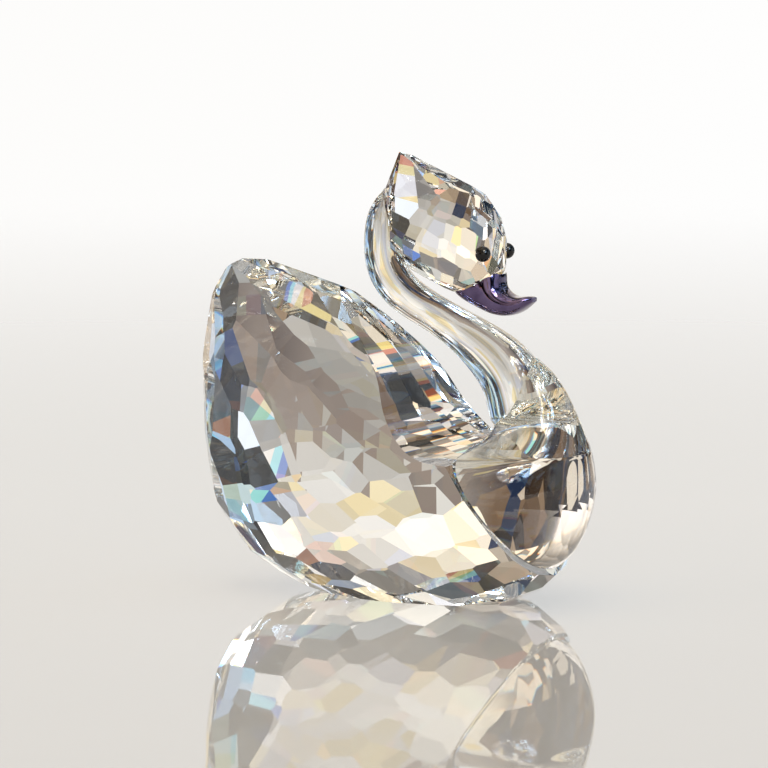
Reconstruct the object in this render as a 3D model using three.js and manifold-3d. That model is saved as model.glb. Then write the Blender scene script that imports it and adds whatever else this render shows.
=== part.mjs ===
// Cut-crystal swan figurine, millimetres, +Z up.
// The swan looks along +X, +Y is its left side, and the flat base facet lies in the plane Z = 0,
// with the origin under the middle of the overall length.
//
// Every crystal is first worked out as a smooth ideal form, then ground flat, one facet at a time,
// by planes that touch the form. The neck and breast are polished smooth instead. All pieces are
// bonded with a thin cured layer of clear adhesive.

import * as THREE from 'three';
import { mergeVertices } from 'three/addons/utils/BufferGeometryUtils.js';
import Module from 'manifold-3d';

const wasm = await Module();
wasm.setup();

// ---------------------------------------------------------------- driving dimensions

const BOND = 0.12;           // thickness of a cured adhesive layer
const CLEARANCE = 0.09;      // air left between an adhesive layer and each piece beside it
const SEAT = BOND + 2 * CLEARANCE;

const BODY_LENGTH = 47.0;    // belly form, before the chest end is cut off for the breast
const BODY_WIDTH = 28.0;     // widest place, just behind the breast
const BELLY_WIDTH = 26.4;
const BODY_HEIGHT = 31.6;    // belly form, part of it below the base facet
const BELLY_X = -1.2;        // centre of the belly form
const BELLY_RISE = 14.4;
const TAIL_TOP = 39.9;
const TAIL_X = -20.6;        // centre of the tail tip
const TAIL_RADIUS = 4.2;
const RIDGE_X = -9;          // narrow ridge between the tail and the scoop
const RIDGE_TOP = 36.3;
const RIDGE_WIDTH = 2.4;
const BODY_FACETS = 15;      // facets in each row round the body
const TAIL_FACETS = 8;       // facets in each row round the tail tip
const BODY_GRIND = 0.45;     // depth that the facets are ground below the ideal form
const TAIL_GRIND = 0.1;
const CHEST_X = 9.2;         // centre of the chest form, shared by the body and the breast
const CHEST_RISE = 13.6;
const CHEST_REACH = 24.4;    // foremost point of the breast
const CHEST_HEIGHT = 28.2;

// Smooth hollow ground across the back, behind the neck: points of its profile in the middle plane.
const SCOOP_PROFILE = [
  [-11.6, 41.6], [-8.3, 37.7], [-2.4, 31.6], [1.2, 27.2], [3.6, 22.4], [7.2, 18.6], [12, 17.6], [18, 18.4],
];
const SCOOP_STEPS = 70;

const JOINT_POINT = new THREE.Vector3(15.6, 0, 11.5);      // on the body and breast joint
const JOINT_NORMAL = new THREE.Vector3(0.853, 0, 0.521).normalize();

const NECK_SCALE = 1;        // thickness of the neck rod, as a multiple of its normal taper
const NECK_FOOT_LENGTH = 2.6;
const NECK_SIDES = 24;

const HEAD_X = 5.7;
const HEAD_RISE = 44.4;
const HEAD_LENGTH = 14.4;
const HEAD_WIDTH = 10.8;
const HEAD_HEIGHT = 12.2;
const HEAD_FACETS = 11;
const HEAD_GRIND = 0.35;
const FACE_X = 9.4;          // lower front of the head, above the beak
const FACE_RISE = 40.9;
const FACE_LENGTH = 9.0;
const FACE_WIDTH = 8.0;
const FACE_HEIGHT = 9.0;
const CREST = new THREE.Vector3(-0.1, 0, 53.4);             // sharp point at the back of the crown

const EYE_DIAMETER = 1.9;
const EYE_SPREAD = 3.45;     // each eye's distance from the middle plane
const EYE_X = 11.9;
const EYE_RISE = 41.7;
const EYE_PROUD = 0.2;       // extra distance of the bead's centre from the facet

const BEAK_WIDTH = 5.6;

// ---------------------------------------------------------------- solids

const MERGE_DISTANCE = 1e-4;
const solidOf = (geometry) => {
  const bare = geometry.clone();
  bare.deleteAttribute('normal');
  bare.deleteAttribute('uv');
  const merged = mergeVertices(bare, MERGE_DISTANCE);
  return new wasm.Manifold(new wasm.Mesh({
    numProp: 3,
    vertProperties: new Float32Array(merged.attributes.position.array),
    triVerts: new Uint32Array(merged.index.array),
  }));
};

const geometryOf = (solid) => {
  const mesh = solid.getMesh();
  const geometry = new THREE.BufferGeometry();
  geometry.setAttribute('position', new THREE.BufferAttribute(mesh.vertProperties, 3));
  geometry.setIndex(new THREE.BufferAttribute(mesh.triVerts, 1));
  geometry.computeVertexNormals();
  return geometry;
};

// Closed skin over a row of closed rings, with a flat fan over each end.
const loft = (rings) => {
  const sides = rings[0].length;
  const points = rings.flat();
  const faces = [];
  const corner = (ring, side) => ring * sides + (side % sides);
  for (let ring = 0; ring < rings.length - 1; ring += 1) {
    for (let side = 0; side < sides; side += 1) {
      const [a, b] = [corner(ring, side), corner(ring, side + 1)];
      const [c, d] = [corner(ring + 1, side + 1), corner(ring + 1, side)];
      faces.push(a, b, c, a, c, d);
    }
  }
  for (const [ring, flip] of [[0, true], [rings.length - 1, false]]) {
    const centre = new THREE.Vector3();
    rings[ring].forEach((point) => centre.addScaledVector(point, 1 / sides));
    points.push(centre);
    for (let side = 0; side < sides; side += 1) {
      const edge = [corner(ring, side), corner(ring, side + 1)];
      if (flip) edge.reverse();
      faces.push(...edge, points.length - 1);
    }
  }
  const geometry = new THREE.BufferGeometry();
  const values = points.flatMap((point) => point.toArray());
  geometry.setAttribute('position', new THREE.Float32BufferAttribute(values, 3));
  geometry.setIndex(faces);
  return geometry;
};

// A large block whose one face lies in the plane normal . p = offset, with the block on the far side.
const BLOCK = 160;
const blockBeyond = (normal, offset) => {
  const block = new THREE.BoxGeometry(BLOCK, BLOCK, BLOCK);
  block.translate(0, 0, BLOCK / 2);
  block.applyQuaternion(new THREE.Quaternion().setFromUnitVectors(new THREE.Vector3(0, 0, 1), normal));
  block.translate(...normal.clone().multiplyScalar(offset).toArray());
  return solidOf(block);
};

// ---------------------------------------------------------------- facets

// An ellipsoid with its axes along X, Y and Z.
const ellipsoid = (x, z, length, width, height) => ({
  centre: new THREE.Vector3(x, 0, z),
  half: new THREE.Vector3(length / 2, width / 2, height / 2),
});

// The planes that touch a smooth form all round, one for each of many evenly spread normals. The
// form is the soft hull of some ellipsoids: its reach along a normal is a power mean of theirs,
// measured from the middle, and a higher HULL_POWER hugs them more closely.
const HULL_POWER = 11;
const NORMAL_COUNT = 9000;
const GOLDEN_TURN = Math.PI * (3 - Math.sqrt(5));
const touchingPlanes = (ellipsoids, middle) => Array.from({ length: NORMAL_COUNT }, (_, index) => {
  const polar = Math.acos(1 - (2 * index + 1) / NORMAL_COUNT);
  const normal = new THREE.Vector3().setFromSphericalCoords(1, polar, GOLDEN_TURN * index);
  const reaches = ellipsoids.map(({ centre, half }) =>
    Math.max(centre.clone().sub(middle).dot(normal) + normal.clone().multiply(half).length(), 0));
  const reach = reaches.reduce((sum, value) => sum + value ** HULL_POWER, 0) ** (1 / HULL_POWER);
  return { normal, offset: reach + middle.dot(normal) };
});

// The touching plane that a ray from a point inside the form meets first. Planes nearly along the
// ray are left out.
const LEAST_SLOPE = 0.05;
const firstMet = (planes, from, ray) => {
  let best = null;
  let nearest = Infinity;
  for (const plane of planes) {
    const slope = plane.normal.dot(ray);
    const distance = slope > LEAST_SLOPE ? (plane.offset - plane.normal.dot(from)) / slope : Infinity;
    if (distance < nearest) {
      nearest = distance;
      best = plane;
    }
  }
  return best;
};
// One facet for each ray, ground a little below the touching plane.
const facets = (planes, from, rays, grind) => rays.map((ray) => {
  const { normal, offset } = firstMet(planes, from, ray);
  return { normal, offset: offset - grind };
});

// Rays in staggered rows around an axis, every second row turned half a step. The rows lie half a
// step apart, so that the facets are kites and rhombs.
const POLE_WIDTH = 0.45;     // rows narrower than this share of the middle row have half as many facets
const facetRays = (axis, around) => {
  const turn = new THREE.Quaternion().setFromUnitVectors(new THREE.Vector3(0, 1, 0), axis);
  const rows = around - 1;
  const rays = [axis.clone(), axis.clone().negate()];
  for (let row = 1; row <= rows; row += 1) {
    const polar = (Math.PI * row) / (rows + 1);
    const count = Math.sin(polar) > POLE_WIDTH ? around : Math.ceil(around / 2);
    for (let step = 0; step < count; step += 1) {
      const azimuth = (2 * Math.PI * (step + (row % 2) / 2)) / count;
      rays.push(new THREE.Vector3().setFromSphericalCoords(1, polar, azimuth).applyQuaternion(turn));
    }
  }
  return rays;
};

// The solid left when every plane has been ground to its offset, plus a margin all round.
const ground = (blank, planes, margin = 0) => {
  let solid = blank;
  for (const { normal, offset } of planes) {
    solid = solid.subtract(blockBeyond(normal, offset + margin));
  }
  return solid;
};

// ---------------------------------------------------------------- body

const TAIL_WIDTH = 1.8 * TAIL_RADIUS;
const TAIL_HEIGHT = 3.2 * TAIL_RADIUS;
const bodyForms = [
  ellipsoid(BELLY_X, BELLY_RISE, BODY_LENGTH, BELLY_WIDTH, BODY_HEIGHT),
  ellipsoid(TAIL_X, TAIL_TOP - TAIL_HEIGHT / 2, 2 * TAIL_RADIUS, TAIL_WIDTH, TAIL_HEIGHT),
  ellipsoid(RIDGE_X, RIDGE_TOP - RIDGE_WIDTH / 2, RIDGE_WIDTH, RIDGE_WIDTH, RIDGE_WIDTH),
  ellipsoid(CHEST_X, CHEST_RISE, 2 * (CHEST_REACH - CHEST_X), BODY_WIDTH, CHEST_HEIGHT),
];
const BODY_MIDDLE = new THREE.Vector3(BELLY_X - 0.8, 0, BELLY_RISE + 2.6);
const BODY_AXIS = new THREE.Vector3(-0.94, 0, 0.34).normalize();
const TAIL_MIDDLE = new THREE.Vector3(TAIL_X + 1.5, 0, TAIL_TOP - 7);
const TAIL_AXIS = new THREE.Vector3(-0.72, 0, 0.69).normalize();
const TAIL_SPREAD = 0.3;     // cosine of the widest angle between a tail facet's ray and the tail's axis
const tailRays = facetRays(TAIL_AXIS, TAIL_FACETS).filter((ray) => ray.dot(TAIL_AXIS) > TAIL_SPREAD);
const bodyTouching = touchingPlanes(bodyForms, BODY_MIDDLE);
const bodyPlanes = [
  ...facets(bodyTouching, BODY_MIDDLE, facetRays(BODY_AXIS, BODY_FACETS), BODY_GRIND),
  ...facets(bodyTouching, TAIL_MIDDLE, tailRays, TAIL_GRIND),
];

const blank = (size) => solidOf(new THREE.BoxGeometry(size, size, size));
const underside = blockBeyond(new THREE.Vector3(0, 0, -1), 0);

// The scoop's tool: everything above the profile, right across the body.
const scoopLine = new THREE.SplineCurve(SCOOP_PROFILE.map(([x, z]) => new THREE.Vector2(x, z)));
const scoopShape = new THREE.Shape(scoopLine.getSpacedPoints(SCOOP_STEPS));
scoopShape.lineTo(BODY_LENGTH, BLOCK / 2);
scoopShape.lineTo(SCOOP_PROFILE[0][0], BLOCK / 2);
const scoopGeometry = new THREE.ExtrudeGeometry(scoopShape, { depth: 2 * BODY_WIDTH, bevelEnabled: false });
scoopGeometry.rotateX(Math.PI / 2);
scoopGeometry.translate(0, BODY_WIDTH, 0);
const scoop = solidOf(scoopGeometry);

const jointOffset = JOINT_POINT.dot(JOINT_NORMAL);
const inFrontOf = (shift) => blockBeyond(JOINT_NORMAL, jointOffset + shift);

const body = ground(blank(BLOCK), bodyPlanes)
  .subtract(underside)
  .subtract(scoop)
  .subtract(inFrontOf(-SEAT / 2));

// ---------------------------------------------------------------- neck

// Centre line and radius of the neck rod, top to foot: each point is (x, radius, z).
const neckLine = new THREE.CatmullRomCurve3([
  new THREE.Vector3(-1.6, 0.6, 48.6),
  new THREE.Vector3(-2.1, 1.6, 46.6),
  new THREE.Vector3(-2.3, 2.2, 43.2),
  new THREE.Vector3(-1.8, 2.35, 39.7),
  new THREE.Vector3(0.3, 2.35, 36.8),
  new THREE.Vector3(3.6, 2.25, 34.7),
  new THREE.Vector3(7.6, 2.45, 32.5),
  new THREE.Vector3(11.6, 3.15, 29.8),
  new THREE.Vector3(14.7, 3.75, 26.4),
  new THREE.Vector3(15.7, 3.75, 22.9),
]);

const NECK_STEPS = 32;
const END_STEPS = 5;
const END_TURN = 0.97 * (Math.PI / 2);     // a dome stops just short of its pole

// One ring across the rod: along is the rod's direction in the middle plane.
const neckRing = (centre, along, radius) => {
  const across = new THREE.Vector3(0, 1, 0);
  const out = new THREE.Vector3().crossVectors(across, along).normalize();
  return Array.from({ length: NECK_SIDES }, (_, side) => {
    const angle = (2 * Math.PI * side) / NECK_SIDES;
    return centre.clone()
      .addScaledVector(out, radius * Math.cos(angle))
      .addScaledVector(across, radius * Math.sin(angle));
  });
};

const neckSolid = (margin) => {
  const rings = [];
  const place = (t) => {
    const point = neckLine.getPoint(t);
    const tangent = neckLine.getTangent(t);
    return {
      centre: new THREE.Vector3(point.x, 0, point.z),
      along: new THREE.Vector3(tangent.x, 0, tangent.z).normalize(),
      radius: NECK_SCALE * point.y + margin,
    };
  };
  const roundEnd = (t, length, way) => {
    const { centre, along, radius } = place(t);
    for (let step = 1; step <= END_STEPS; step += 1) {
      const angle = END_TURN * (step / END_STEPS);
      const shifted = centre.clone().addScaledVector(along, way * length * Math.sin(angle));
      rings.push(neckRing(shifted, along, radius * Math.cos(angle)));
    }
  };
  roundEnd(0, NECK_SCALE * neckLine.getPoint(0).y + margin, -1);
  rings.reverse();
  for (let step = 0; step <= NECK_STEPS; step += 1) {
    const { centre, along, radius } = place(step / NECK_STEPS);
    rings.push(neckRing(centre, along, radius));
  }
  roundEnd(1, NECK_FOOT_LENGTH + margin, 1);
  return solidOf(loft(rings));
};

// ---------------------------------------------------------------- breast

// Level rings of the breast: each point is (height, foremost x, hindmost x, half-width).
// The lower rings close far behind the joint, where they are cut off.
const chestHalf = BODY_WIDTH / 2;
const breastLevels = [
  { z: CHEST_RISE - 9.3, front: CHEST_REACH - 4.3, back: 0, half: chestHalf * 0.5 },
  { z: CHEST_RISE - 8.2, front: CHEST_REACH - 3.0, back: -1, half: chestHalf * 0.7 },
  { z: CHEST_RISE - 5, front: CHEST_REACH - 1.1, back: -3, half: chestHalf * 0.9 },
  { z: CHEST_RISE, front: CHEST_REACH, back: -4, half: chestHalf },
  { z: 16.4, front: CHEST_REACH - 0.15, back: -2, half: chestHalf * 0.93 },
  { z: 18.2, front: CHEST_REACH - 0.45, back: 5, half: chestHalf * 0.72 },
  { z: 19.8, front: CHEST_REACH - 0.85, back: 11.8, half: 7.2 },
  { z: 22, front: CHEST_REACH - 1.6, back: 13.2, half: 5.2 },
  { z: 25, front: CHEST_REACH - 3.0, back: 14.2, half: 3.9 },
  { z: 27.6, front: CHEST_REACH - 4.9, back: 15.6, half: 2.6 },
  { z: 29.3, front: CHEST_REACH - 6.7, back: 17.2, half: 0.5 },
];
const frontLine = new THREE.CatmullRomCurve3(
  breastLevels.map(({ z, front, half }) => new THREE.Vector3(front, half, z)),
);
const backLine = new THREE.CatmullRomCurve3(
  breastLevels.map(({ z, back }) => new THREE.Vector3(back, 0, z)),
);

const BREAST_STEPS = 26;
const BREAST_SIDES = 44;
const breastRings = Array.from({ length: BREAST_STEPS + 1 }, (_, step) => {
  const front = frontLine.getPoint(step / BREAST_STEPS);
  const back = backLine.getPoint(step / BREAST_STEPS);
  const middle = (front.x + back.x) / 2;
  return Array.from({ length: BREAST_SIDES }, (__, side) => {
    const angle = (2 * Math.PI * side) / BREAST_SIDES;
    return new THREE.Vector3(
      middle + (front.x - middle) * Math.cos(angle),
      front.y * Math.sin(angle),
      front.z,
    );
  });
});
const breastBlank = solidOf(loft(breastRings));

// ---------------------------------------------------------------- head

const headForms = [
  ellipsoid(HEAD_X, HEAD_RISE, HEAD_LENGTH, HEAD_WIDTH, HEAD_HEIGHT),
  ellipsoid(FACE_X, FACE_RISE, FACE_LENGTH, FACE_WIDTH, FACE_HEIGHT),
];
const HEAD_MIDDLE = new THREE.Vector3((HEAD_X + FACE_X) / 2 - 0.85, 0, HEAD_RISE - 0.5);
const HEAD_AXIS = new THREE.Vector3(-0.42, 0, 0.91).normalize();
const headTouching = touchingPlanes(headForms, HEAD_MIDDLE);
const crownPlanes = facets(headTouching, HEAD_MIDDLE, facetRays(HEAD_AXIS, HEAD_FACETS), HEAD_GRIND)
  .map(({ normal, offset }) => ({ normal, offset: Math.max(offset, CREST.dot(normal)) }));

const through = (point, normal) => ({ normal, offset: point.dot(normal) });
const eyePoint = (side) => new THREE.Vector3(EYE_X, side * EYE_SPREAD, EYE_RISE);
const eyeNormal = (side) => new THREE.Vector3(0.86, side * 0.5, -0.06).normalize();

// A flat against the neck, and a flat under the face for the beak.
const NAPE_POINT = new THREE.Vector3(-1.0, 0, 45);
const NAPE_NORMAL = new THREE.Vector3(-0.986, 0, -0.167).normalize();
const CHIN_POINT = new THREE.Vector3(10.9, 0, 38.25);
const CHIN_NORMAL = new THREE.Vector3(0.44, 0, -0.898).normalize();

const headPlanes = [
  ...crownPlanes,
  through(eyePoint(1), eyeNormal(1)),
  through(eyePoint(-1), eyeNormal(-1)),
  through(NAPE_POINT, NAPE_NORMAL),
  through(CHIN_POINT, CHIN_NORMAL),
];
const headSolid = (margin) => ground(blank(BLOCK), headPlanes, margin);
const head = headSolid(0);

// ---------------------------------------------------------------- beak

// Stations from the seat to the tip: upper and lower point in the middle plane, half-width.
const beakStations = [
  { top: [12.0, 41.6], low: [6.6, 38.6], half: 0.9 },
  { top: [13.4, 39.3], low: [8.0, 36.5], half: 1 },
  { top: [13.5, 37.8], low: [10.4, 35.2], half: 0.98 },
  { top: [14.4, 36.8], low: [12.9, 34.3], half: 0.92 },
  { top: [15.6, 36.5], low: [15.1, 34.4], half: 0.8 },
  { top: [16.7, 36.6], low: [16.5, 35.2], half: 0.62 },
  { top: [17.4, 36.5], low: [17.4, 35.9], half: 0.3 },
];
const beakTop = new THREE.CatmullRomCurve3(
  beakStations.map(({ top, half }) => new THREE.Vector3(top[0], half * BEAK_WIDTH / 2, top[1])),
);
const beakLow = new THREE.CatmullRomCurve3(
  beakStations.map(({ low }) => new THREE.Vector3(low[0], 0, low[1])),
);
const BEAK_STEPS = 18;
const BEAK_SIDES = 24;
const SQUARENESS = 0.72;     // 1 is an ellipse, smaller is closer to a box
const rounded = (value) => Math.sign(value) * Math.abs(value) ** SQUARENESS;
const beakRings = Array.from({ length: BEAK_STEPS + 1 }, (_, step) => {
  const top = beakTop.getPoint(step / BEAK_STEPS);
  const low = beakLow.getPoint(step / BEAK_STEPS);
  return Array.from({ length: BEAK_SIDES }, (__, side) => {
    const angle = (2 * Math.PI * side) / BEAK_SIDES;
    const lift = (1 + rounded(Math.sin(angle))) / 2;
    return new THREE.Vector3(
      low.x + (top.x - low.x) * lift,
      top.y * rounded(Math.cos(angle)),
      low.z + (top.z - low.z) * lift,
    );
  });
});
const beakBlank = solidOf(loft(beakRings));

// ---------------------------------------------------------------- eyes

const EYE_SIDES = 16;
const EYE_ROWS = 10;
const eyeSphere = (side, radius) => {
  const sphere = new THREE.SphereGeometry(radius, EYE_SIDES, EYE_ROWS);
  sphere.translate(...eyePoint(side).addScaledVector(eyeNormal(side), EYE_PROUD + SEAT).toArray());
  return solidOf(sphere);
};

// ---------------------------------------------------------------- bonds and seats

// The biggest separate body of a solid, without the loose slivers beside it.
const mainBody = (solid) => solid.decompose().sort((a, b) => b.volume() - a.volume())[0];

const headSeat = headSolid(SEAT);
const headBond = headSolid(SEAT - CLEARANCE).subtract(headSolid(CLEARANCE));
const neckBlank = neckSolid(0);
const neck = mainBody(neckBlank.subtract(headSeat));
const breast = breastBlank.intersect(inFrontOf(SEAT / 2)).subtract(neckSolid(SEAT));
const bodyBond = breastBlank.intersect(inFrontOf(-BOND / 2)).subtract(inFrontOf(BOND / 2))
  .subtract(neckSolid(SEAT));
const neckBond = mainBody(breastBlank.intersect(inFrontOf(SEAT)).intersect(neckSolid(SEAT - CLEARANCE))
  .subtract(neckSolid(CLEARANCE)));
const napeBond = mainBody(neckBlank.intersect(headBond));
const beak = mainBody(beakBlank.subtract(headSeat));
const beakBond = mainBody(beakBlank.intersect(headBond));

// ---------------------------------------------------------------- scene

const CRYSTAL = { color: 0xe9eef0, roughness: 0.02, metalness: 0 };
const ADHESIVE = { color: 0xf4f3ec, roughness: 0.1, metalness: 0 };
const VIOLET_METAL = { color: 0x4a3d63, roughness: 0.12, metalness: 1 };
const JET = { color: 0x0a0908, roughness: 0.05, metalness: 0 };

const swan = new THREE.Group();
const addPiece = (name, solid, finish) => {
  const mesh = new THREE.Mesh(geometryOf(solid), new THREE.MeshStandardMaterial(finish));
  mesh.name = name;
  swan.add(mesh);
};

addPiece('body_crystal', body, CRYSTAL);
addPiece('breast_crystal', breast, CRYSTAL);
addPiece('neck_rod', neck, CRYSTAL);
addPiece('head_crystal', head, CRYSTAL);
addPiece('beak', beak, VIOLET_METAL);
addPiece('bond_body_breast', bodyBond, ADHESIVE);
addPiece('bond_breast_neck', neckBond, ADHESIVE);
addPiece('bond_neck_head', napeBond, ADHESIVE);
addPiece('bond_head_beak', beakBond, ADHESIVE);
for (const [name, side] of [['left', 1], ['right', -1]]) {
  const bead = eyeSphere(side, EYE_DIAMETER / 2);
  addPiece(`eye_${name}`, bead.subtract(headSeat), JET);
  addPiece(`bond_eye_${name}`, bead.intersect(headBond), ADHESIVE);
}

export default swan;
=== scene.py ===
"""Cut-crystal swan: the looks of its crystals, beak, eyes and adhesive, and a studio round it.

Metres, +Z up, and the swan looks along +X.
"""
import math

import bmesh
import bpy
import numpy as np
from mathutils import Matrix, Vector


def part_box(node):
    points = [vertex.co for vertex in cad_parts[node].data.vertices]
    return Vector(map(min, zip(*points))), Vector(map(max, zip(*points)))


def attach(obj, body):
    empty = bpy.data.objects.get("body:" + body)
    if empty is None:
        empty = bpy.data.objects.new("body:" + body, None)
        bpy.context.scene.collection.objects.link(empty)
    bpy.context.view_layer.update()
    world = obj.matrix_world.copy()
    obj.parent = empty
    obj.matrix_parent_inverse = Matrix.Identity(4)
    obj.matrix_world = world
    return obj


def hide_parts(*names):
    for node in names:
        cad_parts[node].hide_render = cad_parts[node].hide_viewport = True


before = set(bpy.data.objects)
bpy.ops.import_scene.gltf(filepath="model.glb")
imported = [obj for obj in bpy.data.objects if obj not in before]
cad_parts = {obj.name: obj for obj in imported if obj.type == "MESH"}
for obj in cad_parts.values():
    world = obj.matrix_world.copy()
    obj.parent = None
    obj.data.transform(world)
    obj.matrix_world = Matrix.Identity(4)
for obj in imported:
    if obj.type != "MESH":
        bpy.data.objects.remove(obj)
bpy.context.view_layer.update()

MM = 0.001
AIR_STEP = 0.3 * MM          # from one crystal to the next across an adhesive layer
SAME_PLANE = 0.9995          # least cosine between a face's normal and the plane that it belongs to
CAMERA_TURN = 24.5           # the camera's azimuth, in degrees


# ---------------------------------------------------------------- shader maths

class Socket:
    """A shader value that Python operators can work on."""

    def __init__(self, tree, link):
        self.tree, self.link = tree, link

    def _maths(self, operation, *values):
        return new_node(self.tree, "ShaderNodeMath", {"operation": operation}, values)

    def __add__(self, other): return self._maths("ADD", self, other)
    def __radd__(self, other): return self._maths("ADD", other, self)
    def __sub__(self, other): return self._maths("SUBTRACT", self, other)
    def __rsub__(self, other): return self._maths("SUBTRACT", other, self)
    def __mul__(self, other): return self._maths("MULTIPLY", self, other)
    def __rmul__(self, other): return self._maths("MULTIPLY", other, self)
    def __truediv__(self, other): return self._maths("DIVIDE", self, other)
    def __pow__(self, other): return self._maths("POWER", self, other)
    def __gt__(self, other): return self._maths("GREATER_THAN", self, other)
    def __lt__(self, other): return self._maths("LESS_THAN", self, other)
    def maths(self, operation, *others): return self._maths(operation, self, *others)


def new_node(tree, kind, settings=None, inputs=(), output=0):
    """Adds one node: its settings first, then the values or links of its sockets."""
    made = tree.nodes.new(kind)
    for name, value in (settings or {}).items():
        if name == "stops":
            fill_ramp(made.color_ramp, value)
        else:
            setattr(made, name, value)
    pairs = inputs.items() if isinstance(inputs, dict) else enumerate(inputs)
    for key, value in pairs:
        if isinstance(value, Socket):
            tree.links.new(value.link, made.inputs[key])
        elif value is not None:
            made.inputs[key].default_value = value
    return Socket(tree, made.outputs[output]) if made.outputs else None


def fill_ramp(ramp, stops):
    """Gives a colour ramp its stops: a list of (place, colour)."""
    while len(ramp.elements) < len(stops):
        ramp.elements.new(0.5)
    for element, (place, colour) in zip(ramp.elements, stops):
        element.position = place
        element.color = (*colour, 1.0)


def material(name):
    """A new material with an empty node tree: returns the material and the tree."""
    made = bpy.data.materials.new(name)
    made.use_nodes = True
    made.node_tree.nodes.clear()
    return made, made.node_tree


def finish_with(tree, shader):
    """Links a shader to the material's output."""
    new_node(tree, "ShaderNodeOutputMaterial", {}, {"Surface": shader})


def blend(tree, share, first, second):
    """One shader where the share is 0, the other where it is 1."""
    return new_node(tree, "ShaderNodeMixShader", {}, [share, first, second])


def tone_of(tree, cells, channel):
    """One channel, 0 to 2, of a Voronoi node's random cell colour."""
    return new_node(tree, "ShaderNodeSeparateColor", {}, [cells], channel)


def mixed_colour(tree, share, first, second, way="MIX"):
    """Two colours mixed by a share. The node's own colour sockets are 6 and 7, and its result is 2."""
    return new_node(tree, "ShaderNodeMix", {"data_type": "RGBA", "blend_type": way}, {
        "Factor": share, 6: first, 7: second}, 2)


def corner_points(mesh):
    """A mesh's points, as an array."""
    points = np.zeros(len(mesh.vertices) * 3)
    mesh.vertices.foreach_get("co", points)
    return points.reshape(-1, 3)


def place_on_piece(tree):
    """The shaded point in metres, and its X, Y and Z."""
    here = new_node(tree, "ShaderNodeTexCoord", output="Object")
    return here, [new_node(tree, "ShaderNodeSeparateXYZ", {}, [here], axis) for axis in "XYZ"]


# ---------------------------------------------------------------- materials

JOINT_POINT = np.array([15.6, 0.0, 11.5]) * MM
JOINT_NORMAL = np.array([0.853, 0.0, 0.521]) / np.linalg.norm([0.853, 0.0, 0.521])
JOINT_SLOPE = np.array([-JOINT_NORMAL[2], 0.0, JOINT_NORMAL[0]])
CRYSTAL_IOR = 1.56
CRYSTAL_TINT = (0.985, 0.992, 0.99, 1.0)
BONDED_TINT = (0.995, 0.995, 0.99, 1.0)


def crystal_shader(tree):
    """Polished lead crystal: clear, with the faintest lapping marks."""
    here, _ = place_on_piece(tree)
    marks = new_node(tree, "ShaderNodeTexNoise", {}, {"Vector": here, "Scale": 900.0, "Detail": 3.0})
    return new_node(tree, "ShaderNodeBsdfPrincipled", {}, {
        "Base Color": CRYSTAL_TINT, "Roughness": marks * 0.004, "IOR": CRYSTAL_IOR,
        "Transmission Weight": 1.0,
    })


def crystal():
    """Open crystal."""
    made, tree = material("polished_crystal")
    finish_with(tree, crystal_shader(tree))
    return made


def clear_contact(tree):
    """Crystal in optical contact with clear adhesive: light goes straight on."""
    return new_node(tree, "ShaderNodeBsdfTransparent", {}, {"Color": BONDED_TINT})


def bonded():
    """A face that the adhesive covers all over."""
    made, tree = material("bonded_face")
    finish_with(tree, clear_contact(tree))
    return made


def nape_facet(centre, half_width, half_height):
    """The head's facet on the neck: bonded inside an oval, open crystal round it."""
    made, tree = material("nape_facet")
    _, (_, y, z) = place_on_piece(tree)
    oval = (y / half_width) ** 2 + ((z - centre) / half_height) ** 2
    finish_with(tree, blend(tree, oval > 1.0, clear_contact(tree), crystal_shader(tree)))
    return made


def joint_outline(steps):
    """Lowest and highest place of the joint along its slope, and the half-widths at even steps between.

    They are read off the rim of the CAD's adhesive layer, by straight lines between its corners.
    """
    points = corner_points(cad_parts["bond_body_breast"].data)
    slope = (points - JOINT_POINT) @ JOINT_SLOPE
    order = np.argsort(slope)
    low, high = slope.min(), slope.max()
    return low, high, np.interp(np.linspace(low, high, steps), slope[order], np.abs(points[order, 1]))


def joint_face(rim=0.6 * MM, steps=24):
    """The joint between body and breast: bonded, but for a narrow rim that the adhesive doesn't reach."""
    made, tree = material("joint_face")
    _, (x, y, z) = place_on_piece(tree)
    low, high, half_widths = joint_outline(steps)
    widest = half_widths.max()
    along = z * JOINT_SLOPE[2] + x * JOINT_SLOPE[0] - float(JOINT_POINT @ JOINT_SLOPE)
    half = new_node(tree, "ShaderNodeValToRGB", {"stops": [
        (place, (width / widest,) * 3) for place, width in zip(np.linspace(0.0, 1.0, steps), half_widths)
    ]}, [(along - low) / (high - low)]) * widest
    past = (y.maths("ABSOLUTE") - half).maths("MAXIMUM", along - high)
    finish_with(tree, blend(tree, past > -rim, clear_contact(tree), crystal_shader(tree)))
    return made


def neck_crystal():
    """The neck rod: crystal, but bonded where its foot sits inside the breast."""
    made, tree = material("neck_crystal")
    seated = new_node(tree, "ShaderNodeAttribute", {"attribute_name": "seated"}, output="Fac")
    finish_with(tree, blend(tree, seated > 0.0, crystal_shader(tree), clear_contact(tree)))
    return made


def adhesive():
    """Cured clear adhesive, nearly invisible between two crystals, with a few bubbles 0.1 mm across."""
    made, tree = material("cured_adhesive")
    here, _ = place_on_piece(tree)
    cells = {"Vector": here, "Scale": 2500.0}
    away = new_node(tree, "ShaderNodeTexVoronoi", {}, cells)
    cell = tone_of(tree, new_node(tree, "ShaderNodeTexVoronoi", {}, cells, 1), 0)
    bubble = (away < 0.13) * (cell > 0.93)
    clear = new_node(tree, "ShaderNodeBsdfTransparent", {}, {"Color": (0.99, 0.988, 0.975, 1.0)})
    skin = new_node(tree, "ShaderNodeBsdfPrincipled", {}, {
        "Base Color": (0.9, 0.89, 0.86, 1.0), "Roughness": 0.2})
    finish_with(tree, blend(tree, bubble * 0.4, clear, skin))
    return made


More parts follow.
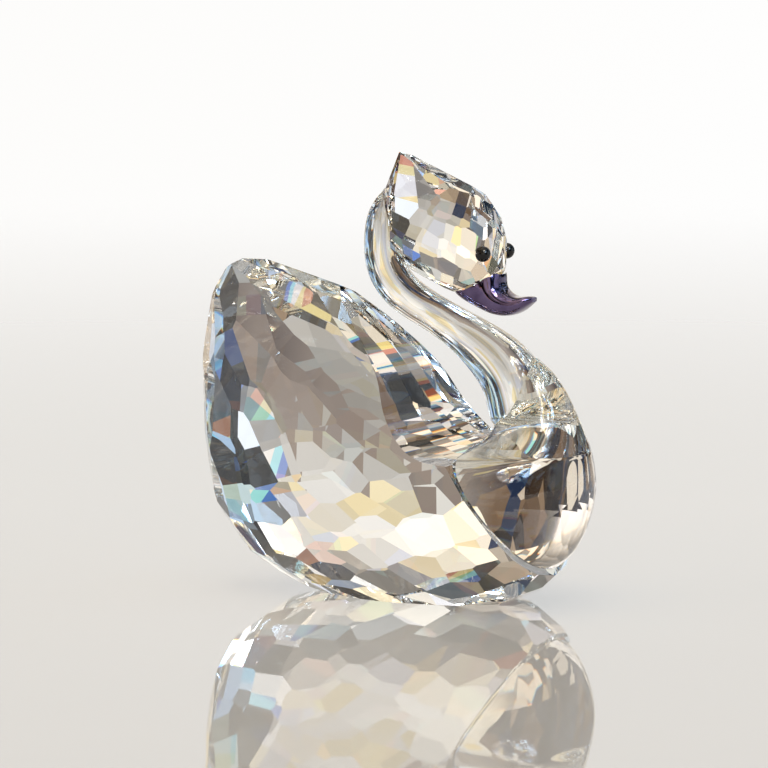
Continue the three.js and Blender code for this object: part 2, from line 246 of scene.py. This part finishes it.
def violet_metal():
    """Dark violet plating on a polished casting."""
    made, tree = material("violet_metal")
    here, _ = place_on_piece(tree)
    cloud = new_node(tree, "ShaderNodeTexNoise", {}, {"Vector": here, "Scale": 260.0, "Detail": 4.0})
    tint = new_node(tree, "ShaderNodeValToRGB", {"stops": [
        (0.3, (0.055, 0.038, 0.085)), (0.7, (0.19, 0.145, 0.27)),
    ]}, [cloud])
    finish_with(tree, new_node(tree, "ShaderNodeBsdfPrincipled", {}, {
        "Base Color": tint, "Metallic": 1.0, "Roughness": cloud * 0.005,
    }))
    return made


def jet_glass():
    """Black bead glass."""
    made, tree = material("jet_glass")
    here, _ = place_on_piece(tree)
    cloud = new_node(tree, "ShaderNodeTexNoise", {}, {"Vector": here, "Scale": 1500.0})
    finish_with(tree, new_node(tree, "ShaderNodeBsdfPrincipled", {}, {
        "Base Color": (0.004, 0.0035, 0.003, 1.0), "Roughness": cloud * 0.005, "IOR": 1.42,
    }))
    return made


CRYSTAL = crystal()
BONDED = bonded()
JOINT = joint_face()


# ---------------------------------------------------------------- shape tools

def smooth_curve(points, count):
    """A natural cubic spline through the points, evenly sampled by chord length.

    Between knots i and i+1, at a share t of the chord h, the value is
    (1-t) p_i + t p_(i+1) + h^2/6 ((1-t)^3 - (1-t)) m_i + h^2/6 (t^3 - t) m_(i+1),
    where the second derivatives m solve the usual three-term equations.
    """
    points = np.asarray(points, float)
    chord = np.linalg.norm(np.diff(points, axis=0), axis=1)
    knots = np.concatenate([[0.0], np.cumsum(chord)])
    size = len(points)
    system = np.eye(size)
    right = np.zeros_like(points)
    inner = np.arange(1, size - 1)
    system[inner, inner - 1] = chord[:-1] / 6
    system[inner, inner] = (chord[:-1] + chord[1:]) / 3
    system[inner, inner + 1] = chord[1:] / 6
    slope = np.diff(points, axis=0) / chord[:, None]
    right[1:-1] = np.diff(slope, axis=0)
    bend = np.linalg.solve(system, right)
    where = np.linspace(0.0, knots[-1], count)
    left = np.clip(np.searchsorted(knots, where, side="right") - 1, 0, size - 2)
    step = chord[left][:, None]
    share = ((where - knots[left]) / chord[left])[:, None]
    rest = 1 - share
    return (rest * points[left] + share * points[left + 1]
            + step ** 2 / 6 * ((rest ** 3 - rest) * bend[left] + (share ** 3 - share) * bend[left + 1]))


def closed_skin(name, rings, finish):
    """A closed mesh over rings[k, i] (k rings of i points), with a point at each end's middle."""
    count, sides, _ = rings.shape
    ends = rings[[0, -1]].mean(axis=1)
    points = np.concatenate([rings.reshape(-1, 3), ends])
    ring, side = np.meshgrid(np.arange(count - 1), np.arange(sides), indexing="ij")
    here, over = ring * sides + side, ring * sides + (side + 1) % sides
    quads = np.stack([here, over, over + sides, here + sides], axis=-1).reshape(-1, 4)
    around = np.arange(sides)
    after = (around + 1) % sides
    last = (count - 1) * sides
    first_fan = np.stack([np.full(sides, count * sides), after, around], axis=-1)
    last_fan = np.stack([np.full(sides, count * sides + 1), last + around, last + after], axis=-1)
    mesh = bpy.data.meshes.new(name)
    mesh.from_pydata(points.tolist(), [], quads.tolist() + first_fan.tolist() + last_fan.tolist())
    corner = points[quads]
    slant = np.cross(corner[:, 2] - corner[:, 0], corner[:, 3] - corner[:, 1])
    volume = ((corner.mean(axis=1) - points.mean(axis=0)) * slant).sum()
    if volume < 0:
        mesh.flip_normals()
    made = bpy.data.objects.new(name, mesh)
    bpy.context.collection.objects.link(made)
    mesh.materials.append(finish)
    mesh.shade_smooth()
    return made


def carve(piece, tool, operation="DIFFERENCE"):
    """Cuts a piece with a tool, keeps the tool's own finish on the cut faces, and removes the tool."""
    cut = piece.modifiers.new("cut", "BOOLEAN")
    cut.object, cut.operation, cut.solver = tool, operation, "MANIFOLD"
    cut.material_mode = "TRANSFER"
    bake_modifiers(piece)
    bpy.data.objects.remove(tool)


def bake_modifiers(piece):
    """Makes the piece's modified shape its own mesh."""
    seen = piece.evaluated_get(bpy.context.evaluated_depsgraph_get())
    made = bpy.data.meshes.new_from_object(seen)
    piece.modifiers.clear()
    piece.data = made


def crease(piece, angle):
    """Smooth shading, with a sharp edge wherever two faces meet at more than the angle."""
    piece.data.shade_smooth()
    piece.data.set_sharp_from_angle(angle=math.radians(angle))


def half_space(point, normal, finish, size=0.12):
    """A large block on the far side of a plane, as a cutting tool."""
    normal = np.asarray(normal) / np.linalg.norm(normal)
    sideways = np.array([0.0, 1.0, 0.0])
    upward = np.cross(normal, sideways)
    corners = np.array([[-1, -1], [1, -1], [1, 1], [-1, 1]])
    near = point + corners[:, :1] * sideways * size / 2 + corners[:, 1:] * upward * size / 2
    return closed_skin("plane_tool", np.stack([near, near + normal * size]), finish)


# ---------------------------------------------------------------- CAD pieces that keep their facets

MERGE_DISTANCE = 0.002 * MM


def facet_copy(node, name):
    """A copy of a CAD node's mesh as a new piece, with its doubled corners merged."""
    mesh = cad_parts[node].data.copy()
    made = bpy.data.objects.new(name, mesh)
    bpy.context.collection.objects.link(made)
    work = bmesh.new()
    work.from_mesh(mesh)
    bmesh.ops.remove_doubles(work, verts=work.verts, dist=MERGE_DISTANCE)
    work.to_mesh(mesh)
    work.free()
    mesh.materials.clear()
    return made


def face_values(mesh):
    """Centres and normals of a mesh's faces, as arrays."""
    centres = np.zeros(len(mesh.polygons) * 3)
    normals = np.zeros(len(mesh.polygons) * 3)
    mesh.polygons.foreach_get("center", centres)
    mesh.polygons.foreach_get("normal", normals)
    return centres.reshape(-1, 3), normals.reshape(-1, 3)


def grown(source, margin, finish):
    """The same facets, each moved out by a margin.

    Each corner v moves by the d that solves n . d = margin for all the normals n of its faces,
    in least squares.
    """
    mesh = source.data
    points = corner_points(mesh)
    _, normals = face_values(mesh)
    loops = np.zeros(len(mesh.loops), int)
    mesh.loops.foreach_get("vertex_index", loops)
    faces = loops.reshape(-1, 3)
    system = np.tile(np.eye(3) * 1e-4, (len(points), 1, 1))
    right = np.zeros((len(points), 3))
    for corner in range(3):
        np.add.at(system, faces[:, corner], normals[:, :, None] * normals[:, None, :])
        np.add.at(right, faces[:, corner], normals * margin)
    moved = points + np.linalg.solve(system, right[..., None])[..., 0]
    made = bpy.data.meshes.new("grown")
    made.from_pydata(moved.tolist(), [], faces.tolist())
    made.materials.append(finish)
    piece = bpy.data.objects.new("grown", made)
    bpy.context.collection.objects.link(piece)
    return piece


NAPE_NORMAL = np.array([-0.986, 0.0, -0.167]) / np.linalg.norm([-0.986, 0.0, -0.167])
CHIN_NORMAL = np.array([0.44, 0.0, -0.898]) / np.linalg.norm([0.44, 0.0, -0.898])


def faceted_body():
    """The body: its own facets, the scoop shaded smooth, the joint face bonded."""
    made = facet_copy("body_crystal", "body")
    mesh = made.data
    mesh.materials.append(CRYSTAL)
    mesh.materials.append(JOINT)
    centres, normals = face_values(mesh)
    mesh.polygons.foreach_set("material_index", (normals @ JOINT_NORMAL > SAME_PLANE).astype(np.int32))
    set_corner_normals(mesh, centres, normals)
    return made


# Points of the scoop's profile in the middle plane, in millimetres: (x, z).
SCOOP_PROFILE = np.array([
    (-11.6, 41.6), (-8.3, 37.7), (-2.4, 31.6), (1.2, 27.2), (3.6, 22.4), (7.2, 18.6), (12, 17.6), (18, 18.4),
])


LEVEL_ACROSS = 0.2           # largest sideways part of a scoop face's normal
SCOOP_REACH = 0.12 * MM      # farthest that a scoop face's middle is from the profile


def set_corner_normals(mesh, centres, normals):
    """Flat facets keep their own normal; a corner in the scoop gets the normal of the smooth profile.

    That is the profile's direction at the nearest of its points, turned a quarter towards the open side.
    A face lies in the scoop if it runs level across and its middle is on the profile.
    """
    corner = np.zeros(len(mesh.loops), int)
    mesh.loops.foreach_get("vertex_index", corner)
    of_face = np.repeat(np.arange(len(normals)), 3)
    line = smooth_curve(SCOOP_PROFILE, 1500) * MM
    along = np.gradient(line, axis=0)
    open_side = np.stack([-along[:, 1], np.zeros(len(line)), along[:, 0]], axis=-1)
    open_side /= np.linalg.norm(open_side, axis=1, keepdims=True)
    place = corner_points(mesh)[corner][:, ::2]
    nearest = ((place[:, None] - line[None]) ** 2).sum(axis=-1).argmin(axis=1)
    off_line = ((centres[:, None, ::2] - line[None]) ** 2).sum(axis=-1).min(axis=1) ** 0.5
    in_scoop = (np.abs(normals[:, 1]) < LEVEL_ACROSS) & (off_line < SCOOP_REACH)
    shading = np.where(in_scoop[of_face][:, None], open_side[nearest], normals[of_face])
    mesh.shade_smooth()
    mesh.normals_split_custom_set(shading.tolist())


def faceted_head():
    """The head: its own facets, with the neck's and the beak's seats bonded."""
    made = facet_copy("head_crystal", "head")
    mesh = made.data
    mesh.materials.append(CRYSTAL)
    mesh.materials.append(nape_facet(45.0 * MM, 1.7 * MM, 3.4 * MM))
    mesh.materials.append(BONDED)
    _, normals = face_values(mesh)
    nape = normals @ NAPE_NORMAL > SAME_PLANE
    chin = normals @ CHIN_NORMAL > SAME_PLANE
    mesh.polygons.foreach_set("material_index", (nape + 2 * chin).astype(np.int32))
    mesh.polygons.foreach_set("use_smooth", np.zeros(len(normals), bool))
    return made


# ---------------------------------------------------------------- neck

# Centre line and radius of the neck rod in millimetres, top to foot: (x, radius, z).
NECK_LINE = np.array([
    (-1.6, 0.6, 48.6), (-2.1, 1.6, 46.6), (-2.3, 2.2, 43.2), (-1.8, 2.35, 39.7), (0.3, 2.35, 36.8),
    (3.6, 2.25, 34.7), (7.6, 2.45, 32.5), (11.6, 3.15, 29.8), (14.7, 3.75, 26.4), (15.7, 3.75, 22.9),
])
NECK_FOOT = 2.6


def neck_skin(name, margin, finish, steps=220, sides=112):
    """A rod of circles along the neck's centre line, with a dome at each end.

    Ring k has centre c(s) and radius r(s) from the spline, and lies square to the line. Over an end,
    at an angle a from 0 to a right angle, the radius is r cos a and the centre goes on by l sin a.
    """
    line = smooth_curve(NECK_LINE, steps)
    centre, radius = line[:, ::2], line[:, 1] + margin
    along = np.gradient(centre, axis=0)
    along /= np.linalg.norm(along, axis=1, keepdims=True)
    angle = np.linspace(0, math.pi / 2, 24)[1:] * 0.995
    top = [centre[0] - along[0] * radius[0] * np.sin(angle)[:, None], radius[0] * np.cos(angle)]
    foot_length = NECK_FOOT + margin
    foot = [centre[-1] + along[-1] * foot_length * np.sin(angle)[:, None], radius[-1] * np.cos(angle)]
    ones = np.ones((len(angle), 1))
    centre = np.concatenate([top[0][::-1], centre, foot[0]]) * MM
    radius = np.concatenate([top[1][::-1], radius, foot[1]]) * MM
    along = np.concatenate([ones * along[0], along, ones * along[-1]])
    turn = np.linspace(0, 2 * math.pi, sides, endpoint=False)
    out = np.stack([along[:, 1], np.zeros(len(along)), -along[:, 0]], axis=-1)
    middle = np.stack([centre[:, 0], np.zeros(len(centre)), centre[:, 1]], axis=-1)
    rings = (middle[:, None] + radius[:, None, None] * (
        out[:, None] * np.cos(turn)[None, :, None] + np.array([0.0, 1.0, 0.0]) * np.sin(turn)[None, :, None]))
    return closed_skin(name, rings, finish)


# ---------------------------------------------------------------- breast

# Levels of the breast in millimetres: (height, foremost x, hindmost x, half-width).
BREAST_LEVELS = np.array([
    (4.3, 20.1, 0.0, 7.0), (5.4, 21.4, -1.0, 9.8), (8.6, 23.3, -3.0, 12.6), (13.6, 24.4, -4.0, 14.0),
    (16.4, 24.25, -2.0, 13.02), (18.2, 23.95, 5.0, 10.08), (19.8, 23.55, 11.8, 7.2), (22.0, 22.8, 13.2, 5.2),
    (25.0, 21.4, 14.2, 3.9), (27.6, 19.5, 15.6, 2.6), (29.3, 17.7, 17.2, 0.5),
])


def breast_profile(steps):
    """Spline through the levels: height, foremost x, hindmost x and half-width, in metres."""
    return smooth_curve(BREAST_LEVELS, steps) * MM


def breast_skin(name, finish, steps=170, sides=200):
    """Level ovals: at height z the middle is half-way between front and back, and the ring is
    (middle + length cos a, half-width sin a, z)."""
    z, front, back, half = breast_profile(steps).T
    turn = np.linspace(0, 2 * math.pi, sides, endpoint=False)
    middle, length = (front + back) / 2, (front - back) / 2
    rings = np.stack([
        middle[:, None] + length[:, None] * np.cos(turn),
        half[:, None] * np.sin(turn),
        np.repeat(z[:, None], sides, axis=1),
    ], axis=-1)
    return closed_skin(name, rings, finish)


def mark_seated(piece):
    """Stores, at each point, how deep it lies inside the breast's outer form (negative outside).

    The depth is 1 minus ((x - middle) / length)^2 minus (y / half-width)^2 at the point's height.
    """
    x, y, z = corner_points(piece.data).T
    level, front, back, half = breast_profile(400).T
    middle = np.interp(z, level, (front + back) / 2)
    length = np.interp(z, level, (front - back) / 2)
    width = np.interp(z, level, half)
    depth = 1 - ((x - middle) / length) ** 2 - (y / width) ** 2
    depth[z > level[-1]] = -1
    layer = piece.data.attributes.new("seated", "FLOAT", "POINT")
    layer.data.foreach_set("value", depth.astype(np.float32))


# ---------------------------------------------------------------- beak and eyes

# Stations of the beak in millimetres, seat to tip: (top x, top z, low x, low z, half-width).
BEAK_LINE = np.array([
    (12.0, 41.6, 6.6, 38.6, 2.52), (13.4, 39.3, 8.0, 36.5, 2.8), (13.5, 37.8, 10.4, 35.2, 2.74),
    (14.4, 36.8, 12.9, 34.3, 2.58), (15.6, 36.5, 15.1, 34.4, 2.24), (16.7, 36.6, 16.5, 35.2, 1.74),
    (17.4, 36.5, 17.4, 35.9, 0.84),
])
BEAK_SQUARENESS = 0.72


def beak_skin(name, finish, steps=120, sides=96):
    """Rounded boxes from seat to tip: between the low and the top point of each station, the ring is
    at lift (1 + sq(sin a)) / 2 and half-width sq(cos a), where sq(v) = sign(v) |v|^squareness."""
    top_x, top_z, low_x, low_z, half = (smooth_curve(BEAK_LINE, steps) * MM).T
    turn = np.linspace(0, 2 * math.pi, sides, endpoint=False)
    squared = lambda value: np.sign(value) * np.abs(value) ** BEAK_SQUARENESS
    lift = (1 + squared(np.sin(turn))) / 2
    rings = np.stack([
        low_x[:, None] + (top_x - low_x)[:, None] * lift,
        half[:, None] * squared(np.cos(turn)),
        low_z[:, None] + (top_z - low_z)[:, None] * lift,
    ], axis=-1)
    return closed_skin(name, rings, finish)


EYE_RADIUS = 0.95            # millimetres, as the rest of the eye's sizes
EYE_FACET = (11.9, 3.45, 41.7)
EYE_WAY = (0.86, 0.5, -0.06)
EYE_CENTRE_OFF_FACET = 0.5
EYE_BACK = -0.2              # the flat back, from the centre along the bead's axis


def eye_bead(name, node, finish, rows=48, sides=64):
    """A ball with a flat back: a half-outline turned about the bead's own axis.

    At an angle a from the axis the outline is radius cos a along it and radius sin a across it.
    """
    side = np.sign(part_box(node)[0][1])
    outward = np.array(EYE_WAY) * (1, side, 1)
    outward /= np.linalg.norm(outward)
    radius = EYE_RADIUS * MM
    centre = np.array(EYE_FACET) * (1, side, 1) * MM + outward * EYE_CENTRE_OFF_FACET * MM
    angle = np.linspace(0.004, math.acos(EYE_BACK / EYE_RADIUS), rows)
    along = np.concatenate([radius * np.cos(angle), [EYE_BACK * MM]])
    across = np.concatenate([radius * np.sin(angle), [0.3 * radius]])
    first = np.cross(outward, [0, 0, 1.0])
    first /= np.linalg.norm(first)
    second = np.cross(outward, first)
    turn = np.linspace(0, 2 * math.pi, sides, endpoint=False)
    round_axis = np.cos(turn)[:, None] * first + np.sin(turn)[:, None] * second
    rings = centre + along[:, None, None] * outward + across[:, None, None] * round_axis[None]
    made = closed_skin(name, rings, finish)
    crease(made, 50.0)
    return made


# ---------------------------------------------------------------- assembly

def keep(piece, node):
    """The piece rides with the whole figurine, and stands for a CAD node."""
    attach(piece, "root")
    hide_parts(node)


head = faceted_head()
body = faceted_body()
neck = neck_skin("neck", 0.0, neck_crystal())
carve(neck, grown(head, AIR_STEP, BONDED))
mark_seated(neck)
crease(neck, 30.0)
breast = breast_skin("breast", CRYSTAL)
carve(breast, half_space(JOINT_POINT + JOINT_NORMAL * AIR_STEP / 2, -JOINT_NORMAL, JOINT))
carve(breast, neck_skin("seat_tool", 0.3, BONDED))
crease(breast, 30.0)
METAL = violet_metal()
beak = beak_skin("beak_casting", METAL)
carve(beak, grown(head, AIR_STEP, METAL))
crease(beak, 40.0)
JET = jet_glass()

keep(body, "body_crystal")
keep(head, "head_crystal")
keep(neck, "neck_rod")
keep(breast, "breast_crystal")
keep(beak, "beak")
for side in ("left", "right"):
    keep(eye_bead(f"{side}_eye_bead", f"eye_{side}", JET), f"eye_{side}")

ADHESIVE = adhesive()
for name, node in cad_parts.items():
    if name.startswith("bond_"):
        node.data.materials.clear()
        node.data.materials.append(ADHESIVE)


# ---------------------------------------------------------------- stage, light and camera

def floor():
    """A glossy pale sheet that fades into the backdrop, out of sight from inside the crystal."""
    made, tree = material("pale_gloss")
    _, (x, y, _) = place_on_piece(tree)
    away = (x * x + y * y).maths("SQRT")
    fade = new_node(tree, "ShaderNodeMapRange", {"interpolation_type": "SMOOTHSTEP"}, {
        "Value": away, "From Min": 0.15, "From Max": 1.1})
    gloss = new_node(tree, "ShaderNodeBsdfPrincipled", {}, {
        "Base Color": (0.80, 0.80, 0.805, 1.0), "Roughness": 0.02, "IOR": 2.8})
    clear = new_node(tree, "ShaderNodeBsdfTransparent")
    finish_with(tree, blend(tree, fade, gloss, clear))
    size = 2.4
    corners = np.array([[-1, -1, 0], [1, -1, 0], [1, 1, 0], [-1, 1, 0]]) * size / 2
    mesh = bpy.data.meshes.new("floor")
    mesh.from_pydata(corners.tolist(), [], [(0, 1, 2, 3)])
    mesh.materials.append(made)
    sheet = bpy.data.objects.new("floor", mesh)
    sheet.visible_transmission = False
    bpy.context.collection.objects.link(sheet)


CARD_DISTANCE = 70.0 * MM
CARD_ENDS = (-6.0, 124.0)    # degrees along the arc, from straight behind the swan
CARD_STEPS = 32


def dark_card():
    """A low curved card, seen only through the crystal, that glows with painted light: dark fabric tones with
    bronze and cream patches, emitted rather than lit.

    It stands on an arc round the swan. Its top and bottom edges step apart smoothly near one end,
    which is plain.
    """
    made, tree = material("glowing_dark_card")
    here, _ = place_on_piece(tree)
    drawn = new_node(tree, "ShaderNodeVectorMath", {"operation": "MULTIPLY"}, [here, (1.0, 1.0, 0.45)])
    drawn = new_node(tree, "ShaderNodeVectorMath", {"operation": "ADD"}, [drawn, (0.031, 0.012, 0.004)])
    patch = new_node(tree, "ShaderNodeTexVoronoi", {}, {"Vector": drawn, "Scale": 130.0}, 1)
    tone = tone_of(tree, patch, 0)
    # Emitted tones, painted light: near black, navy, bronze, and a cream patch brighter than white.
    glowing_cloth = new_node(tree, "ShaderNodeValToRGB", {"stops": [
        (0.0, (0.01, 0.008, 0.008)), (0.30, (0.035, 0.022, 0.016)), (0.45, (0.02, 0.035, 0.08)),
        (0.62, (0.075, 0.04, 0.022)), (0.74, (0.20, 0.12, 0.065)), (0.88, (0.52, 0.39, 0.27)),
        (1.0, (1.1, 1.0, 0.88)),
    ]}, [tone])
    plain_end = new_node(tree, "ShaderNodeAttribute", {"attribute_name": "plain_end"}, output="Fac")
    glowing_cloth = mixed_colour(tree, plain_end * 0.85, glowing_cloth, (0.34, 0.28, 0.24, 1.0))
    # The card only glows. Its colours are emitted painted light that stands in for lit fabric, and no lamp
    # lights it.
    finish_with(tree, new_node(tree, "ShaderNodeEmission", {}, [glowing_cloth, 1.0]))
    turn = np.linspace(*CARD_ENDS, CARD_STEPS + 1)
    angle = np.radians(90.0 + CAMERA_TURN + turn)
    foot = np.stack([np.cos(angle), np.sin(angle), np.zeros(len(turn))], axis=-1) * CARD_DISTANCE
    climb = np.clip((turn - 1.0) / 8.0, 0.0, 1.0)
    climb = climb ** 2 * (3 - 2 * climb)
    upright = np.array([0.0, 0.0, MM])
    low, high = 11.0 + 9.0 * climb, 9.0 + 21.0 * climb
    points = np.concatenate([foot - low[:, None] * upright, foot + high[:, None] * upright])
    here = np.arange(CARD_STEPS)
    over = here + len(turn)
    mesh = bpy.data.meshes.new("dark_card")
    mesh.from_pydata(points.tolist(), [], np.stack([here, here + 1, over + 1, over], axis=-1).tolist())
    mesh.materials.append(made)
    plainness = mesh.attributes.new("plain_end", "FLOAT", "POINT")
    plainness.data.foreach_set("value", np.tile(np.clip((5.0 - turn) / 5.0, 0.0, 1.0), 2).astype(np.float32))
    card = bpy.data.objects.new("dark_card", mesh)
    card.visible_camera = card.visible_diffuse = card.visible_glossy = card.visible_shadow = False
    bpy.context.collection.objects.link(card)


def smooth_step(tree, value, low, high):
    """Rises smoothly from 0 to 1 as the value goes from low to high."""
    return new_node(tree, "ShaderNodeMapRange", {"interpolation_type": "SMOOTHSTEP"}, {
        "Value": value, "From Min": low, "From Max": high})


FORWARD = Vector((-math.sin(math.radians(CAMERA_TURN)), math.cos(math.radians(CAMERA_TURN)), 0.0))
LEFTWARD = Vector((-FORWARD.y, FORWARD.x, 0.0))
LAMP = (LEFTWARD * -0.55 - FORWARD * 0.75 + Vector((0, 0, 0.75))).normalized()
LAMP_EDGE = (0.93, 0.95)     # cosines from the lamp's middle: outside it, and fully in it
LAMP_BRIGHTNESS = 15.0
SPREAD = 0.008               # how far red and blue see the tent below and above green


def dot(tree, first, second):
    """The dot product of two vectors."""
    return new_node(tree, "ShaderNodeVectorMath", {"operation": "DOT_PRODUCT"}, [first, second], 1)


def tent_brightness(tree, way, shift):
    """Brightness of the tent round the table, in one direction, for one colour of light.

    Patches of card and cloth, each of an even tone, lie over a base that is bright at the horizon,
    grey below and above. They are mild along four quiet directions and black or white between them.
    """
    turned = new_node(tree, "ShaderNodeVectorMath", {"operation": "ADD"}, [way, shift])
    z = new_node(tree, "ShaderNodeSeparateXYZ", {}, [turned], 2)
    ahead, left = dot(tree, turned, FORWARD), dot(tree, turned, LEFTWARD)
    base = new_node(tree, "ShaderNodeValToRGB", {"stops": [
        (place, (grey,) * 3) for place, grey in (
            (0.00, 0.10), (0.14, 0.32), (0.32, 0.50), (0.42, 0.68), (0.49, 1.0), (0.60, 1.15),
            (0.68, 0.9), (0.74, 0.25), (0.82, 0.1), (0.90, 2.0))
    ]}, [z * 0.5 + 0.5])
    large = new_node(tree, "ShaderNodeTexVoronoi", {}, {"Vector": turned, "Scale": 3.6}, 1)
    small = new_node(tree, "ShaderNodeTexVoronoi", {}, {"Vector": turned, "Scale": 11.0}, 1)
    large_tone, small_tone = tone_of(tree, large, 0), tone_of(tree, small, 1)
    quiet = base * (0.62 + large_tone * 0.5 + small_tone * 0.32)
    lively = new_node(tree, "ShaderNodeValToRGB", {"stops": [
        (place, (grey,) * 3) for place, grey in (
            (0.0, 0.01), (0.40, 0.03), (0.46, 0.16), (0.55, 0.36), (0.60, 0.46), (0.66, 1.2), (1.0, 1.6))
    ]}, [large_tone * 0.35 + small_tone * 0.65])
    fold = ahead ** 4 + left ** 4 - 6 * (ahead ** 2) * (left ** 2)
    calm = smooth_step(tree, fold, -0.35, 0.45)
    return quiet * calm + lively * (1 - calm)


def studio_light():
    """A tent of pale and dark cards, seen through the crystal and in polished faces.

    The camera and the glossy floor see a plain pale backdrop instead, and only polished faces
    mirror the lamp.
    """
    world = bpy.data.worlds.new("studio")
    bpy.context.scene.world = world
    world.use_nodes = True
    tree = world.node_tree
    tree.nodes.clear()
    way = new_node(tree, "ShaderNodeTexCoord", output="Generated")
    red, green, blue = [tent_brightness(tree, way, (0.0, 0.0, shift)) for shift in (-SPREAD, 0.0, SPREAD)]
    tent = new_node(tree, "ShaderNodeCombineColor", {}, [
        red * 0.7 + green * 0.3, green * 0.7 + (red + blue) * 0.15, blue * 0.7 + green * 0.3])
    left = dot(tree, way, LEFTWARD)
    tint = new_node(tree, "ShaderNodeValToRGB", {"stops": [
        (0.0, (0.80, 0.90, 1.0)), (0.10, (0.34, 0.50, 0.72)), (0.22, (0.46, 0.62, 0.80)),
        (0.31, (1.0, 0.95, 0.90)), (0.50, (1.0, 0.95, 0.88)), (0.62, (1.0, 0.90, 0.74)),
        (0.75, (1.0, 0.80, 0.60)), (1.0, (1.0, 0.92, 0.85)),
    ]}, [left * 0.5 + 0.5])
    coloured = mixed_colour(tree, 1.0, tent, tint, "MULTIPLY")
    cards = new_node(tree, "ShaderNodeTexVoronoi", {}, {"Vector": way, "Scale": 7.0}, 1)
    gold = new_node(tree, "ShaderNodeValToRGB", {"stops": [
        (0.0, (1.0, 1.0, 1.0)), (0.60, (1.0, 0.99, 0.96)), (0.70, (1.0, 0.93, 0.76)),
        (0.82, (1.0, 0.86, 0.50)), (0.90, (0.97, 0.97, 1.0)), (1.0, (0.82, 0.86, 1.0)),
    ]}, [tone_of(tree, cards, 2)])
    coloured = mixed_colour(tree, 1.0, coloured, gold, "MULTIPLY")
    plain = new_node(tree, "ShaderNodeValToRGB", {"stops": [
        (0.35, (1.0, 1.0, 1.0)), (0.66, (0.975, 0.965, 0.945)),
    ]}, [left * 0.5 + 0.5])
    direct = new_node(tree, "ShaderNodeLightPath", output="Is Camera Ray")
    glossy = new_node(tree, "ShaderNodeLightPath", output="Is Glossy Ray")
    mirror = new_node(tree, "ShaderNodeLightPath", output="Is Singular Ray")
    straight = direct.maths("MAXIMUM", glossy * (1 - mirror))
    seen = mixed_colour(tree, straight, coloured, plain)
    lamp = smooth_step(tree, dot(tree, way, LAMP), *LAMP_EDGE) * glossy * mirror * LAMP_BRIGHTNESS
    background = new_node(tree, "ShaderNodeBackground", {}, [seen, lamp + 1.0])
    new_node(tree, "ShaderNodeOutputWorld", {}, [background])


def camera():
    """Low three-quarter view from the swan's right, a little above its feet."""
    azimuth = math.radians(CAMERA_TURN)
    toward = Vector((math.sin(azimuth), -math.cos(azimuth), 0.0))
    target = Vector((-2.1, 0.0, 25.4)) * MM
    place = Vector((target.x, target.y, 0.0)) + toward * 0.4 + Vector((0, 0, 0.065))
    data = bpy.data.cameras.new("camera")
    data.lens, data.sensor_width = 156.0, 36.0
    eye = bpy.data.objects.new("camera", data)
    eye.location = place
    eye.rotation_mode = "QUATERNION"
    eye.rotation_quaternion = (target - place).to_track_quat("-Z", "Y")
    bpy.context.collection.objects.link(eye)
    bpy.context.scene.camera = eye


floor()
dark_card()
studio_light()
camera()
scene = bpy.context.scene
scene.cycles.max_bounces = 40
scene.cycles.transmission_bounces = 40
scene.cycles.transparent_max_bounces = 64
scene.cycles.glossy_bounces = 12
scene.view_settings.view_transform = "Standard"
